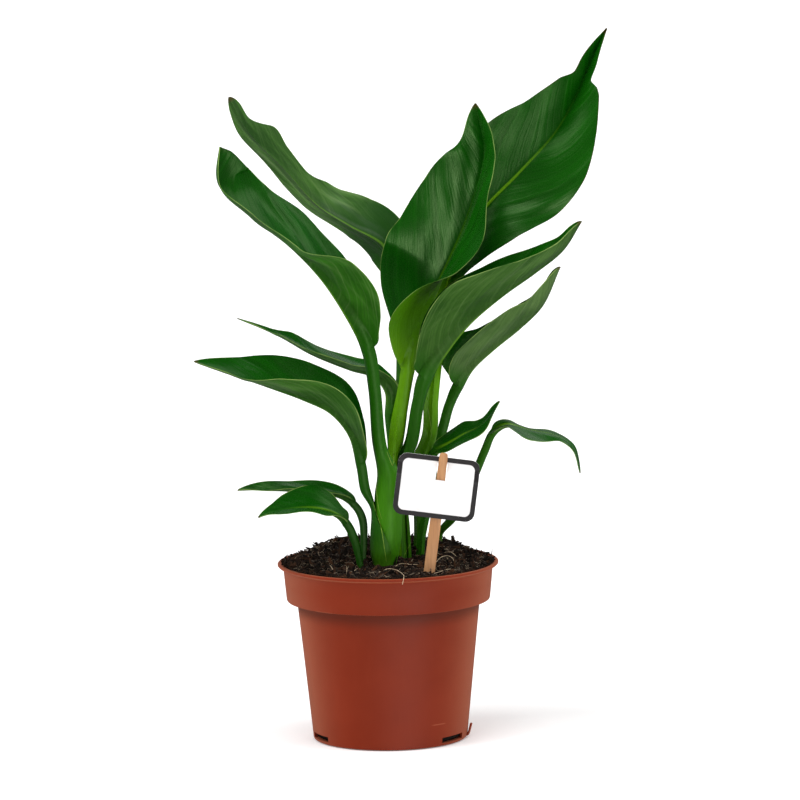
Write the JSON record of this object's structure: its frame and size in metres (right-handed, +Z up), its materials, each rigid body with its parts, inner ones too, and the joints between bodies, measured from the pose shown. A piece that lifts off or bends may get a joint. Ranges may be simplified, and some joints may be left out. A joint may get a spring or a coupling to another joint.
{
  "type": "potted bird of paradise plant",
  "caption": "Young bird of paradise house plant with broad pointed leaves on channelled stalks, standing in a round tapered nursery pot of soil with a plain card on a stick.",
  "frame": {"origin": "centre of the flat foot under the pot, on the pot's axis", "axes": "+Z up along the pot's axis, -Y towards the side the picture shows, +X to that view's right"},
  "size_m": [0.226, 0.1303, 0.3818],
  "materials": {
    "pot_plastic": "matte terracotta-coloured moulded plastic",
    "soil": "loose dark fibrous peat",
    "leaf": "glossy dark green above, matte grey-green below",
    "stick_wood": "bare light wood",
    "card_plastic": "plain white sheet with a dark border"
  },
  "bodies": {
    "root": {"pot": "pot_plastic", "soil": "soil", "leaf_upper_left_front": "leaf", "leaf_upper_left_back": "leaf", "leaf_centre": "leaf", "leaf_upper_right": "leaf", "leaf_right_upper": "leaf", "leaf_right_lower": "leaf", "leaf_small_right": "leaf", "leaf_drooping_right": "leaf", "leaf_mid_left": "leaf", "leaf_mid_left_back": "leaf", "leaf_low_left_front": "leaf", "leaf_low_left_back": "leaf", "label_stick": "stick_wood", "label_card": "card_plastic"}
  },
  "joints": []
}
